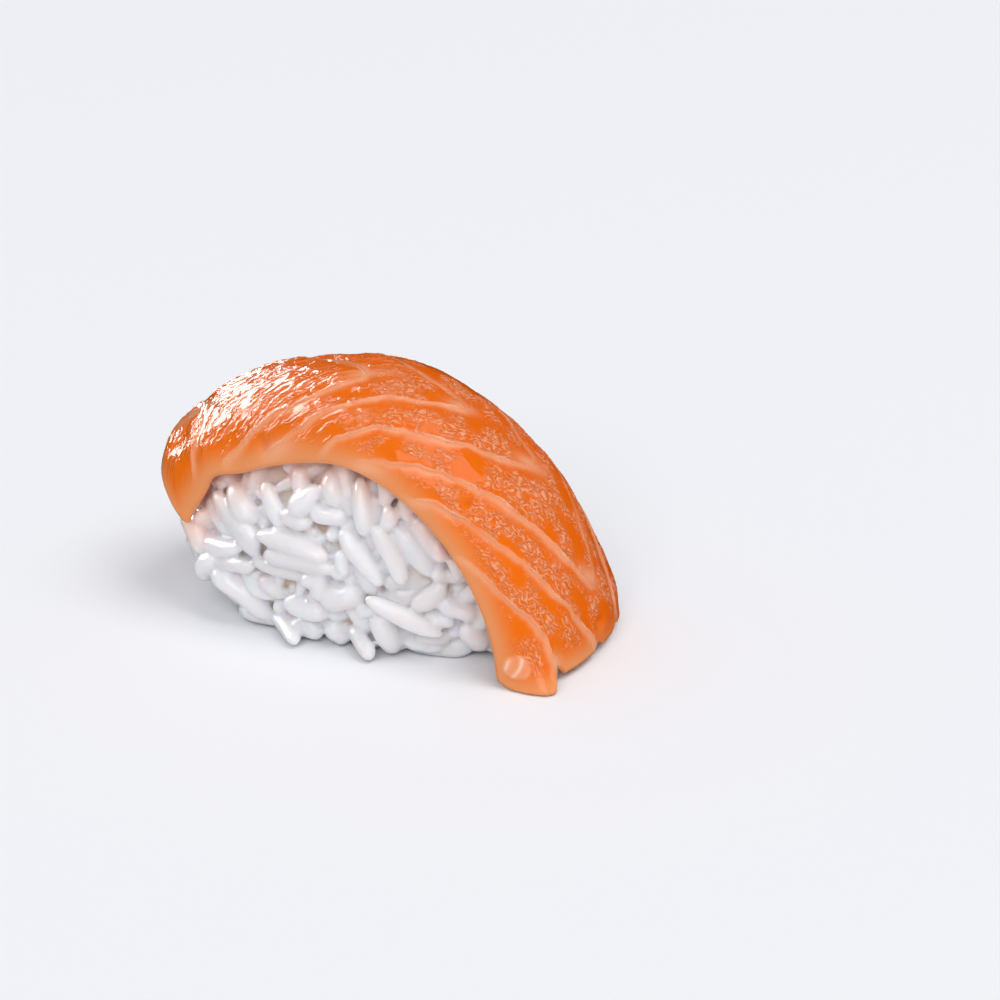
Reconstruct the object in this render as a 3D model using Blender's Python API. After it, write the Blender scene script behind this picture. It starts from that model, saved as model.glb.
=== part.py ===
"""Salmon nigiri: a slice of raw salmon draped over a hand-pressed pad of rice.

+X runs along the nigiri, towards the end where the salmon hangs down to the table. +Y runs across it, +Z is up.
The origin is the middle of the pad, on the table. Sizes below are in millimetres, and MM turns them into metres.

The salmon is one long slab. Its top surface follows a spine, an arch in the XZ plane that rises from the left end
over the crest and drops to the table on the right, and it droops to both sides of that spine.
The rice is one solid out to its uneven outline. It fills the space below the salmon and bulges out under its edges.
"""

import math

import bmesh
import bpy
from mathutils import Vector, noise
from mathutils.bvhtree import BVHTree

MM = 0.001

# Spine of the salmon's top surface: the crest, and the two ends with how square each arm of the arch is.
CREST_X, CREST_Z = -1.8, 31.8
LEFT_X, LEFT_Z, LEFT_SQUARENESS = -28.5, 17.3, 1.72
RIGHT_X, RIGHT_Z, RIGHT_SQUARENESS = 26.7, 0.9, 1.84

# Half widths and droops of the slice on the near (-Y) and far (+Y) sides, at its left end, middle and right end.
NEAR_WIDTH = (11.1, 11.0, 11.4)
FAR_WIDTH = (10.5, 10.6, 13.3)
NEAR_DROOP = (9.3, 7.7, 6.9)
FAR_DROOP = (7.4, 7.9, 4.8)
DROOP_POWER = 2.2
DROOP_SPAN = 0.08  # the share of its length, either way, over which the slice takes its general run
SIDE_TURN = math.radians(81)  # how far round its curve the slice has turned at either long edge

# Thickness of the slice in its middle and at its thin edges.
THICKNESS = 4.6
EDGE_THICKNESS = 1.1

# The near left corner hangs outward and lower, folded down over the rice.
CORNER_OUT, CORNER_DOWN = 1.2, 1.6
CORNER_FALL = (0.055, 0.10)  # where along the slice the corner's drop ends

# Beside that corner the near edge is lifted a little.
LIFT, LIFT_AT, LIFT_SPREAD = 1.1, 0.14, 0.045

# The lobe on the near side of the right end spreads outward on the table.
TIP_SPREAD, TIP_SPREAD_START = 1.7, 0.90
TIP_RISE, TIP_FALL = (-1.0, -0.66), (-0.56, -0.48)  # where across the slice the lobe's spread grows, and ends

# The right end is torn into lobes where fat seams reach it: each notch has a place across, a depth and a half width.
END_NOTCHES = ((-0.50, 1.5, 0.10), (0.06, 0.9, 0.08), (0.40, 1.2, 0.09))
TIP_LOBE = 0.8  # how much further the lobe on the near side of the first notch reaches
TIP_LIFT = 0.2  # the tip's clearance above the table
CORNER_ROUND = 1.6  # how far the end is rounded back at its two corners

# Rice pad: half length and half width at its belly, height, and how square its plan is.
RICE_X, RICE_Y, RICE_TOP, RICE_SQUARENESS = 25.2, 12.0, 27.5, 2.1
RICE_CENTRE_X = -1.1
RICE_TURN = math.radians(5)
RICE_TAPER = 0.08  # share by which the pad is narrower at the right end, and wider at the left
BELLY_Z = 8.0
FOOT_INSET = 0.2  # share by which the foot is narrower than the belly
FOOT_UNEVENNESS = 0.5  # share by which that inset is more at the left end, and less at the right
SHOULDER_SQUARENESS = 2.5
GAP = 0.3  # clearance between rice and salmon

# Relief of the grains on the pad's outline.
GRAIN_LENGTH = 6.0
GRAIN_WIDTH = 3.2
GRAIN_RELIEF = 1.7

# Fineness of the two solids.
SLICE_STEPS_ALONG, SLICE_STEPS_ACROSS = 56, 24
RICE_STEPS_ROUND, RICE_STEPS_UP = 96, 20
SPINE_SAMPLES = 400


def clear_scene():
    for obj in list(bpy.data.objects):
        bpy.data.objects.remove(obj)


def arch_point(turn):
    """Point of the spine at turn -1 (left end) to 0 (crest) to 1 (right end), each arm a quarter of a superellipse."""
    if turn < 0:
        end_x, end_z, squareness = LEFT_X, LEFT_Z, LEFT_SQUARENESS
    else:
        end_x, end_z, squareness = RIGHT_X, RIGHT_Z, RIGHT_SQUARENESS
    angle = abs(turn) * math.pi / 2
    x = CREST_X + (end_x - CREST_X) * math.sin(angle) ** (2 / squareness)
    z = end_z + (CREST_Z - end_z) * max(math.cos(angle), 0.0) ** (2 / squareness)
    return x, z


def measured_spine():
    """The arch's points with their distance along it."""
    rows = []
    travelled = 0.0
    for step in range(SPINE_SAMPLES + 1):
        x, z = arch_point(2 * step / SPINE_SAMPLES - 1)
        if rows:
            travelled += math.hypot(x - rows[-1][1], z - rows[-1][2])
        rows.append((travelled, x, z))
    return rows


SPINE = measured_spine()
SLICE_LENGTH = SPINE[-1][0]


def spine_at(u):
    """Point of the spine, as x and z, at the share u of its length. Beyond either end it runs on straight."""
    wanted = u * SLICE_LENGTH
    low, high = 0, len(SPINE) - 1
    while high - low > 1:
        middle = (low + high) // 2
        if SPINE[middle][0] > wanted:
            high = middle
        else:
            low = middle
    start, end = SPINE[low], SPINE[high]
    share = (wanted - start[0]) / (end[0] - start[0])
    return start[1] + (end[1] - start[1]) * share, start[2] + (end[2] - start[2]) * share


def droop_direction(u):
    """Unit vector, as x and z, in which the slice droops: square to the spine's general run round u."""
    before, after = spine_at(max(u - DROOP_SPAN, 0.0)), spine_at(min(u + DROOP_SPAN, 1.0))
    run_x, run_z = after[0] - before[0], after[1] - before[1]
    length = math.hypot(run_x, run_z)
    return run_z / length, -run_x / length


def along(values, u):
    """A size that changes smoothly through its left, middle and right values."""
    left, middle, right = values
    return left * (2 * u - 1) * (u - 1) + middle * 4 * u * (1 - u) + right * u * (2 * u - 1)


def ramp(low, high, value):
    return min(1.0, max(0.0, (value - low) / (high - low)))


def top_surface(u, v):
    """Point of the salmon's top surface, u along it from 0 to 1 and v across it from -1 (near) to 1 (far)."""
    x, z = spine_at(u)
    down_x, down_z = droop_direction(u)
    width = along(NEAR_WIDTH if v < 0 else FAR_WIDTH, u)
    droop = along(NEAR_DROOP if v < 0 else FAR_DROOP, u) * abs(v) ** DROOP_POWER
    y = width * math.sin(v * SIDE_TURN) / math.sin(SIDE_TURN)
    point = Vector((x + down_x * droop, y, z + down_z * droop))
    if v < 0:
        corner = (1 - ramp(*CORNER_FALL, u)) * v**4
        lift = math.exp(-(((u - LIFT_AT) / LIFT_SPREAD) ** 2)) * v**4
        point += Vector((-CORNER_OUT, 0, -CORNER_DOWN)) * corner
        point += Vector((-down_x, 0, -down_z)) * LIFT * lift
        lobe = ramp(*TIP_RISE, v) * (1 - ramp(*TIP_FALL, v))
        point += Vector((TIP_SPREAD, -TIP_SPREAD, 0)) * ramp(TIP_SPREAD_START, 1, u) ** 2 * lobe
    return point


def surface_normal(u, v):
    step = 0.004
    along_slice = top_surface(u + step, v) - top_surface(u - step, v)
    across_slice = top_surface(u, v + step) - top_surface(u, v - step)
    return along_slice.cross(across_slice).normalized()


def thickness(u, v):
    """Full in the middle, thin at the two long edges and the two ends."""
    across = math.sqrt(max(0.0, 1 - abs(v) ** 3.5))
    lengthwise = math.sqrt(max(0.0, 1 - min(1.0, abs(2 * u - 1)) ** 9))
    return EDGE_THICKNESS + (THICKNESS - EDGE_THICKNESS) * across * lengthwise


def right_end(v):
    """Where the slice ends on the right, as a share of its length: lobes between notches, with rounded corners."""
    reach = TIP_LOBE if v < END_NOTCHES[0][0] else 0.0
    for place, depth, half_width in END_NOTCHES:
        reach -= depth * max(0.0, 1 - abs(v - place) / half_width)
    reach -= CORNER_ROUND * abs(v) ** 10
    return 1 + (reach - EDGE_THICKNESS / 2) / SLICE_LENGTH


def left_end(v):
    return (EDGE_THICKNESS / 2 + CORNER_ROUND * abs(v) ** 8) / SLICE_LENGTH


def clear_of_table(point):
    """The slice bends where it meets the table, and rests just above it."""
    return Vector((point.x, point.y, max(point.z, TIP_LIFT)))


def slab(swell):
    """(vertices, faces) of the salmon slice as a closed slab, swollen by that much on every side."""
    rows, columns = SLICE_STEPS_ALONG + 1, SLICE_STEPS_ACROSS + 1
    top, bottom, rim = [], [], {}
    for i in range(rows):
        for j in range(columns):
            v = 2 * j / SLICE_STEPS_ACROSS - 1
            share = i / SLICE_STEPS_ALONG
            u = left_end(v) + share * (right_end(v) - left_end(v))
            normal = surface_normal(u, v)
            point = top_surface(u, v)
            depth = thickness(share, v)
            top.append(point + normal * swell)
            bottom.append(point - normal * (depth + swell))
            if i in (0, rows - 1) or j in (0, columns - 1):
                outward = rim_direction(u, v, i, j)
                rim[i, j] = point - normal * depth / 2 + outward * (EDGE_THICKNESS / 2 + swell)
    order = rim_order(rows, columns)
    points = [clear_of_table(point) for point in top + bottom + [rim[key] for key in order]]
    count = rows * columns
    faces = []
    for i in range(rows - 1):
        for j in range(columns - 1):
            a = i * columns + j
            b, c, d = a + columns, a + columns + 1, a + 1
            faces.append((a, b, c, d))
            faces.append((count + d, count + c, count + b, count + a))
    for k, (i, j) in enumerate(order):
        following = (k + 1) % len(order)
        here, there = i * columns + j, order[following][0] * columns + order[following][1]
        ring_here, ring_there = 2 * count + k, 2 * count + following
        faces.append((here, there, ring_there, ring_here))
        faces.append((ring_here, ring_there, count + there, count + here))
    return points, faces


def rim_direction(u, v, i, j):
    """Unit vector that points out of the slice at its rim, along its surface."""
    step = 0.004
    lengthwise = (top_surface(u + step, v) - top_surface(u - step, v)).normalized()
    crosswise = (top_surface(u, v + step) - top_surface(u, v - step)).normalized()
    outward = Vector()
    if i == 0:
        outward -= lengthwise
    if i == SLICE_STEPS_ALONG:
        outward += lengthwise
    if j == 0:
        outward -= crosswise
    if j == SLICE_STEPS_ACROSS:
        outward += crosswise
    return outward.normalized()


def rim_order(rows, columns):
    """The rim's grid places in order round the slice."""
    near = [(i, 0) for i in range(rows - 1, 0, -1)]
    left = [(0, j) for j in range(columns - 1)]
    far = [(i, columns - 1) for i in range(rows - 1)]
    right = [(rows - 1, j) for j in range(columns - 1, 0, -1)]
    return near + left + far + right


def grain_relief(point):
    """How far grains stand out of the pad at a point: a bump for each cell of a stretched cellular pattern."""
    place = Vector((point.x / GRAIN_LENGTH, point.y / GRAIN_WIDTH, point.z / GRAIN_WIDTH))
    nearest = noise.voronoi(place)[0][0]
    return GRAIN_RELIEF * (0.5 - nearest)


def pad_radius(height, end_share):
    """Share of the belly's size that the pad has at a height: narrower at the foot, closing over at the top.

    end_share runs from -1 at the left end of the pad to 1 at the right.
    """
    if height < BELLY_Z:
        inset = FOOT_INSET * (1 - FOOT_UNEVENNESS * end_share)
        return 1 - inset * ((BELLY_Z - height) / BELLY_Z) ** 2
    rise = (height - BELLY_Z) / (RICE_TOP - BELLY_Z)
    return max(0.0, 1 - rise**SHOULDER_SQUARENESS) ** (1 / SHOULDER_SQUARENESS)


def pad_point(turn, height):
    """Point of the smooth pad at an angle round it and a height."""
    cosine, sine = math.cos(turn), math.sin(turn)
    radius = pad_radius(height, cosine)
    x = RICE_X * radius * math.copysign(abs(cosine) ** (2 / RICE_SQUARENESS), cosine)
    y = RICE_Y * radius * math.copysign(abs(sine) ** (2 / RICE_SQUARENESS), sine)
    y *= 1 - RICE_TAPER * x / RICE_X
    turned_x = x * math.cos(RICE_TURN) - y * math.sin(RICE_TURN)
    turned_y = x * math.sin(RICE_TURN) + y * math.cos(RICE_TURN)
    return Vector((RICE_CENTRE_X + turned_x, turned_y, height))


def pad_heights():
    """Heights of the pad's rings, closer together towards the top, where it closes over."""
    shares = [step / RICE_STEPS_UP for step in range(RICE_STEPS_UP)]
    return [RICE_TOP * math.sin(share * math.pi / 2) for share in shares]


def pad_rings(centre, salmon):
    """Rings of points of the rice, foot first, each kept below the salmon."""
    rings, held = [], []
    for height in pad_heights():
        ring, held_ring = [], []
        for step in range(RICE_STEPS_ROUND):
            point = pad_point(2 * math.pi * step / RICE_STEPS_ROUND, height)
            outward = point - centre
            if height == 0:
                outward.z = 0
            point += outward.normalized() * grain_relief(point)
            outward = point - centre
            hit = salmon.ray_cast(centre, outward.normalized(), outward.length)[0]
            held_ring.append(hit is not None)
            ring.append(hit if hit is not None else point)
        rings.append(ring)
        held.append(held_ring)
    return rings, held


def drawn_in(rings, held, centre):
    """The rings with each point beside one that the salmon holds down drawn in as far, to pass under its edge."""
    result = []
    for k, ring in enumerate(rings):
        new_ring = []
        for j, point in enumerate(ring):
            around = [
                (rings[a][b % RICE_STEPS_ROUND] - centre).length
                for a in (k - 1, k, k + 1)
                for b in (j - 1, j, j + 1)
                if 0 <= a < len(rings) and held[a][b % RICE_STEPS_ROUND]
            ]
            outward = point - centre
            if around and not held[k][j] and point.z > 0:
                outward *= min(1.0, max(around) / outward.length)
            new_ring.append(centre + outward)
        result.append(new_ring)
    return result


def mesh_object(name, points, faces, colour, roughness):
    mesh = bpy.data.meshes.new(name)
    mesh.from_pydata([point * MM for point in points], [], faces)
    mesh.validate()
    build = bmesh.new()
    build.from_mesh(mesh)
    bmesh.ops.recalc_face_normals(build, faces=build.faces)
    build.to_mesh(mesh)
    build.free()
    mesh.shade_smooth()
    obj = bpy.data.objects.new(name, mesh)
    bpy.context.scene.collection.objects.link(obj)
    material = bpy.data.materials.new(name)
    material.use_nodes = True
    shader = material.node_tree.nodes["Principled BSDF"]
    shader.inputs["Base Color"].default_value = colour
    shader.inputs["Roughness"].default_value = roughness
    shader.inputs["Metallic"].default_value = 0.0
    mesh.materials.append(material)
    return obj


def add_salmon():
    points, faces = slab(0.0)
    return mesh_object("salmon_slice", points, faces, (0.86, 0.24, 0.05, 1), 0.2)


def add_rice():
    salmon = BVHTree.FromPolygons(*slab(GAP))
    centre = Vector((RICE_CENTRE_X, 0, BELLY_Z))
    rings = drawn_in(*pad_rings(centre, salmon), centre)
    points = [point for ring in rings for point in ring]
    peak = salmon.ray_cast(centre, Vector((0, 0, 1)))[0]
    points.append(peak)
    faces = [tuple(reversed(range(RICE_STEPS_ROUND)))]
    for k in range(len(rings) - 1):
        for j in range(RICE_STEPS_ROUND):
            following = (j + 1) % RICE_STEPS_ROUND
            low, high = k * RICE_STEPS_ROUND, (k + 1) * RICE_STEPS_ROUND
            faces.append((low + j, low + following, high + following, high + j))
    last = (len(rings) - 1) * RICE_STEPS_ROUND
    for j in range(RICE_STEPS_ROUND):
        faces.append((last + j, last + (j + 1) % RICE_STEPS_ROUND, len(points) - 1))
    return mesh_object("rice", points, faces, (0.86, 0.85, 0.82, 1), 0.45)


def main():
    clear_scene()
    add_salmon()
    add_rice()


main()
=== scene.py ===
"""Looks of the salmon nigiri: the draped slice, the grains of rice, their finishes and the studio.

Lengths are in millimetres until a mesh, light or camera is made, and MM turns them into metres.
+X runs along the nigiri towards the end that hangs to the table, +Y across it to the far side, +Z up.
"""
import math

import bpy
import numpy as np
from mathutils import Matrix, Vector
from mathutils.bvhtree import BVHTree
from mathutils.kdtree import KDTree


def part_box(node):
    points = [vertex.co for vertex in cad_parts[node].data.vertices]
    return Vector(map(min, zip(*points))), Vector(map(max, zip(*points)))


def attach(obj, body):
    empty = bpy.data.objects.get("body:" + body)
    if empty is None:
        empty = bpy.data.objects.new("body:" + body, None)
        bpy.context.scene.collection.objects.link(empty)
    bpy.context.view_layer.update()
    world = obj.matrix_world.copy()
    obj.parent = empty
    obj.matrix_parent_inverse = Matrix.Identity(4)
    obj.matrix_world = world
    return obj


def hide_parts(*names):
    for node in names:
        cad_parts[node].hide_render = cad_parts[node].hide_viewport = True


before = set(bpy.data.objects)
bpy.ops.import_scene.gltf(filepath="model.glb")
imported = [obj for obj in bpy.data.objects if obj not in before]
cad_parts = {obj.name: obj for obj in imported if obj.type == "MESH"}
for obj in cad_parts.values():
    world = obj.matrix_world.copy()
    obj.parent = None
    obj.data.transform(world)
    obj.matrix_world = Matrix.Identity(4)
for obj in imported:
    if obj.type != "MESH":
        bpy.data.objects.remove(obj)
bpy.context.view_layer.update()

MM = 0.001


def node_box(name):
    """Lowest and highest corner of a CAD node, in millimetres."""
    low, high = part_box(name)
    return np.array(low) / MM, np.array(high) / MM


SLICE_LOW, SLICE_HIGH = node_box("salmon_slice")

# Spine of the slice's top surface: the crest, and the two ends with how square each arm of the arch is.
CREST_X, CREST_Z = -1.8, SLICE_HIGH[2]
LEFT_X, LEFT_Z, LEFT_SQUARENESS = SLICE_LOW[0], 17.3, 1.72
RIGHT_X, RIGHT_Z, RIGHT_SQUARENESS = SLICE_HIGH[0], 0.9, 1.84

# Half widths and droops of the slice on the near (-Y) and far (+Y) sides,
# each at its left end, middle and right end.
NEAR_WIDTH = (11.1, 11.0, 11.4)
FAR_WIDTH = (10.5, 10.6, 13.3)
NEAR_DROOP = (9.3, 7.7, 6.9)
FAR_DROOP = (7.4, 7.9, 4.8)
DROOP_POWER = 2.2
DROOP_SPAN = 0.08  # the share of its length, either way, over which the slice takes its general run
SIDE_TURN = math.radians(81)  # how far round its curve the slice has turned at either long edge
HALF_GIRTH = 15.0  # from the spine to a long edge, along the slice's curve
THICKNESS = 4.6
EDGE_THICKNESS = 1.1

# The near left corner, pulled out and down, and the near edge beside it, lifted off the rice.
CORNER_OUT, CORNER_DOWN, CORNER_FALL = 1.2, 1.6, (0.055, 0.10)
LIFT, LIFT_AT, LIFT_SPREAD = 1.1, 0.14, 0.045

# The right end: its near lobe spreads and reaches further, and notches part it from the others.
TIP_SPREAD, TIP_SPREAD_START = 1.7, 0.90
TIP_RISE, TIP_FALL = (-1.0, -0.66), (-0.56, -0.48)
END_NOTCHES = ((-0.50, 1.5, 0.10), (0.06, 0.9, 0.08), (0.40, 1.2, 0.09))  # place across, depth, half width
TIP_LOBE = 0.8
TIP_LIFT = 0.2  # off the table
CORNER_ROUND = 1.6

# Seams of fat, near edge first, as places along (0 to 1) and across (-1 near to 1 far) the slice.
SEAMS = (
    ((0.08, -0.97), (0.12, -0.73), (0.14, -0.50), (0.12, -0.20), (0.06, 0.15), (0.00, 0.45)),
    ((0.16, -1.02), (0.25, -0.77), (0.34, -0.55), (0.42, -0.18), (0.31, 0.10), (0.20, 0.45), (0.05, 0.90)),
    ((0.24, -1.02), (0.34, -0.80), (0.45, -0.43), (0.57, -0.02), (0.47, 0.14), (0.36, 0.45), (0.20, 0.98)),
    ((0.38, -1.02), (0.47, -0.70), (0.60, -0.38), (0.70, 0.10), (0.64, 0.32), (0.54, 0.60), (0.40, 1.00)),
    ((0.46, -1.02), (0.61, -0.68), (0.75, -0.33), (0.90, 0.08), (0.80, 0.27), (0.70, 0.55), (0.56, 1.00)),
    ((0.58, -1.02), (0.74, -0.70), (0.88, -0.35), (1.01, 0.06)),
    ((0.72, -1.03), (0.83, -0.83), (0.92, -0.60), (1.01, -0.48)),
    ((0.70, 1.00), (0.80, 0.62), (0.90, 0.44), (1.01, 0.40)),
)
SEAM_WIDTH = 0.65
RIDGE_WIDTH, RIDGE_HEIGHT = 0.13, 0.17  # of the sharp line along a seam's left side
DIP_WIDTH, DIP_DEPTH = 2.4, 0.22  # of the shallow valley that a seam lies in
STEP_WIDTH, STEP_HEIGHT = 3.0, 0.10  # of the muscle to a seam's left, which stands higher

# Pale patches: places along and across, half length and half width in mm, and how far they are turned.
PALE_PATCHES = (
    (0.10, -0.31, 5.0, 1.1, -3),
    (0.415, -0.17, 2.2, 0.9, 40),
    (0.565, 0.00, 1.8, 0.8, 30),
    (0.695, 0.11, 2.4, 1.1, 40),
    (0.885, 0.08, 2.2, 0.9, 40),
    (0.30, -0.93, 3.0, 1.0, 15),
    (0.50, -0.97, 3.5, 0.9, 12),
)
# Dents and pits: places along and across, depth and half width in mm.
DENTS = (
    (0.080, -0.53, 1.1, 1.9),
    (0.415, -0.42, 0.25, 0.9),
    (0.686, -0.65, 0.45, 0.6),
    (0.958, 0.08, 0.5, 0.7),
    (0.27, -0.88, 0.3, 0.9),
)
# The thin skin left on the near corner of the tip: its place, half length, half width and height in mm.
SKIN_ALONG, SKIN_ACROSS, SKIN_LENGTH, SKIN_WIDTH, SKIN_HEIGHT = 0.962, -0.86, 1.7, 1.9, 0.2

# Wet wrinkles, long streaks to the left and short squiggles to the right: how far each kind is turned from
# the slice's length, its size along and across itself, and its sharpness.
STREAK_LEAN, STREAK_SIZE, STREAK_SHARPNESS = math.radians(38), (4.5, 1.0), 4.0
SQUIGGLE_LEAN, SQUIGGLE_SIZE, SQUIGGLE_SHARPNESS = math.radians(24), (1.1, 0.55), 2.6
STREAKS_END = (0.40, 0.50)  # where along the slice streaks turn to squiggles
WRINKLE_HEIGHT, STREAK_EXTRA_HEIGHT = 0.12, 0.06
SWELL_HEIGHT, SWELL_LENGTH, SWELL_WIDTH = 0.30, 9, 7  # of the slice's gentle unevenness

# Fineness of the slice's mesh: the underside is coarser by a whole factor.
STEPS_ALONG, STEPS_ACROSS, UNDERSIDE_FACTOR = 432, 176, 4
RIM_RINGS = 3

# Rice pad: half length and half width at its belly, height, and how square its plan is.
PAD_X, PAD_Y, PAD_TOP, PAD_SQUARENESS = 25.2, 12.0, 27.5, 2.1
PAD_CENTRE_X = -1.1
PAD_TURN = math.radians(5)
PAD_TAPER = 0.08
BELLY_Z = 8.0
FOOT_INSET, FOOT_UNEVENNESS = 0.2, 0.5
SHOULDER_SQUARENESS = 2.5

# Grains of rice.
SEED = 11
GRAIN_COUNT = 720
GRAIN_LENGTHS = (6.4, 9.6)
GRAIN_RADII = (1.1, 1.55)
ROUND_END = 0.8  # length of a grain's rounded end, as a share of its radius
BROKEN_SHARE, BROKEN_LENGTH = 0.12, 0.6  # of the grains, and of their length
PROUD_SHARE, PROUD_BY = 0.12, 0.7  # share of grains that stand out of the heap
GRAIN_RINGS, GRAIN_SIDES = 13, 14
PACKING_ROUNDS = 160
PRESSED = 0.86  # how close two grains' middle lines come, as a share of their radii
PUSH, EASE = 0.4, 0.7  # their product is the share of an overlap that each grain gives way by
SHELL_DEPTH = 5.0  # grains whose middle lies deeper than this are left to the core
CORE_INSET, CORE_UNEVENNESS = 1.9, 0.5
FUSE_VOXEL = 0.25
FUSE_SMOOTHING = 1
KEPT_SHARE = 0.78  # of the fused heap's triangles

# The grains in clearest sight, on the heap's near face: x and z of one end's centre, then of the other's,
# the radius, and how far the grain stands proud of the heap.
GRAINS_IN_SIGHT = (
    (1.4, 20.7, 2.3, 16.4, 1.4, 1.0), (3.8, 21.2, 4.3, 19.7, 1.0, 0.6),
    (5.1, 18.3, 5.1, 17.2, 1.0, 0.8), (6.6, 19.5, 6.9, 18.2, 1.0, 0.3),
    (0.3, 14.8, 3.9, 10.4, 1.4, 1.0), (4.1, 15.9, 6.9, 11.0, 1.15, 1.1),
    (6.1, 15.8, 9.2, 11.8, 1.4, 0.2), (8.5, 17.0, 10.7, 13.8, 1.3, 0.4),
    (10.6, 15.1, 11.2, 13.9, 1.0, 0.6), (12.2, 13.0, 13.0, 11.6, 0.85, 0.4),
    (8.7, 7.8, 10.8, 9.6, 1.3, 0.6), (3.9, 7.8, 10.8, 4.4, 1.15, 1.6),
    (4.2, 5.0, 4.9, 1.6, 1.55, 1.2), (11.9, 7.5, 13.7, 6.7, 1.6, 0.8),
    (13.9, 4.2, 15.1, 2.9, 1.4, 0.8), (8.6, 3.0, 10.8, 2.9, 1.1, 0.2),
    (-9.8, 13.3, -2.8, 12.3, 1.5, 1.5), (-9.0, 11.1, -2.0, 10.8, 1.25, 1.2),
    (-0.2, 12.6, 0.2, 10.9, 0.9, 0.8), (-1.6, 10.5, -0.7, 10.0, 0.8, 0.5),
    (-17.0, 15.8, -11.7, 12.3, 1.45, 1.1), (-14.8, 17.3, -12.4, 15.1, 1.5, 0.6),
    (-10.4, 18.6, -8.3, 15.4, 1.15, 0.5), (-5.9, 17.6, -4.3, 19.3, 1.4, 1.1),
    (-3.4, 16.9, -0.9, 16.9, 1.1, 0.5), (-7.2, 16.2, -5.0, 15.7, 1.1, 0.4),
    (-2.3, 20.9, -1.2, 18.8, 1.4, 0.3), (-6.4, 20.7, -6.0, 19.5, 1.2, 0.2),
    (-17.0, 6.2, -11.7, 2.5, 1.55, 1.1), (-22.4, 11.4, -20.1, 9.2, 1.35, 1.4),
    (-19.8, 5.2, -18.0, 7.8, 1.3, 1.3), (-22.1, 8.9, -14.3, 10.7, 1.3, 0.7),
    (-20.0, 7.7, -12.9, 8.6, 1.3, 0.7), (-11.3, 9.5, -5.8, 9.2, 1.2, 0.3),
    (-2.7, 9.4, -2.7, 7.5, 1.15, 0.8), (-4.6, 8.8, -2.9, 8.8, 1.0, 0.6),
    (-6.6, 5.0, -3.7, 4.7, 1.65, 1.1), (-6.9, 1.6, -4.8, 1.6, 1.45, 1.0),
    (-2.0, 2.3, -1.4, 1.6, 1.4, 0.6), (-1.7, 6.8, 0.8, 7.6, 1.75, 0.6),
    (2.3, 5.9, 3.2, 6.1, 0.95, 0.6), (7.3, 1.9, 10.1, 1.8, 0.95, 0.4),
    (-10.5, 6.8, -9.1, 6.0, 1.2, 0.0),
)
# Grains that poke out over the table: one end's centre, the other's, and the radius.
GRAINS_POKING_OUT = (
    ((-9.9, -9.9, 2.0), (-6.3, -12.6, 1.1), 1.10),
    ((0.6, -10.2, 2.6), (3.3, -12.0, 1.1), 1.10),
)

# Linear colours of the flesh from near to far, of its rim, of the painted highlight on its wrinkles, and of
# the fat with the painted highlight along the seams' ridges.
FLESH_NEAR, FLESH_FAR = (0.86, 0.170, 0.007, 1), (0.78, 0.105, 0.002, 1)
RIM_COLOUR, WRINKLE_HIGHLIGHT_COLOUR = (0.82, 0.31, 0.12, 1), (0.95, 0.45, 0.27, 1)
FAT_COLOUR, FAT_RIDGE_HIGHLIGHT_COLOUR = (0.89, 0.43, 0.25, 1), (0.96, 0.62, 0.46, 1)
# Of the rice: its lightest and darkest grains, cloudy starch, a painted warm shade deep in the heap's gaps,
# and a painted pink reflection of the salmon beside it.
GRAIN_LIGHT, GRAIN_DARK = (0.84, 0.83, 0.85, 1), (0.78, 0.76, 0.765, 1)
STARCH_COLOUR = (0.90, 0.90, 0.93, 1)
GAP_SHADE_COLOUR, SALMON_REFLECTION_COLOUR = (0.80, 0.58, 0.40, 1), (0.95, 0.60, 0.50, 1)
FLOOR_COLOUR, SKY_COLOUR = (0.93, 0.94, 0.965, 1), (0.93, 0.95, 1.0, 1)
WARM_WHITE, WHITE = (1.0, 0.99, 0.985), (1, 1, 1)  # of the lights

# Camera.
CAMERA_AZIMUTH, CAMERA_ELEVATION = math.radians(28.4), math.radians(26.1)
CAMERA_DISTANCE = 366
CAMERA_LENS = 110.7  # on a sensor 36 mm wide
AIM_RIGHT, AIM_UP = 13.1, 13.5


def ramp(low, high, value):
    """0 up to low, 1 from high on, and straight between them."""
    return np.clip((value - low) / (high - low), 0, 1)


def smooth_step(low, high, value):
    """As ramp, but with a soft start and end."""
    share = ramp(low, high, value)
    return share * share * (3 - 2 * share)


class FlatNoise:
    """Seeded gradient noise over a plane, between about -1 and 1."""

    SIZE = 256

    def __init__(self, seed):
        angles = np.random.default_rng(seed).uniform(0, 2 * math.pi, (self.SIZE, self.SIZE))
        self.slope_x, self.slope_y = np.cos(angles), np.sin(angles)

    def corner(self, cell_x, cell_y, x, y):
        column, row = cell_x.astype(int) % self.SIZE, cell_y.astype(int) % self.SIZE
        return self.slope_x[column, row] * (x - cell_x) + self.slope_y[column, row] * (y - cell_y)

    def at(self, x, y):
        cell_x, cell_y = np.floor(x), np.floor(y)
        share_x, share_y = x - cell_x, y - cell_y
        ease_x = share_x**3 * (share_x * (share_x * 6 - 15) + 10)
        ease_y = share_y**3 * (share_y * (share_y * 6 - 15) + 10)
        low = self.corner(cell_x, cell_y, x, y)
        low += ease_x * (self.corner(cell_x + 1, cell_y, x, y) - low)
        high = self.corner(cell_x, cell_y + 1, x, y)
        high += ease_x * (self.corner(cell_x + 1, cell_y + 1, x, y) - high)
        return 1.5 * (low + ease_y * (high - low))


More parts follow.
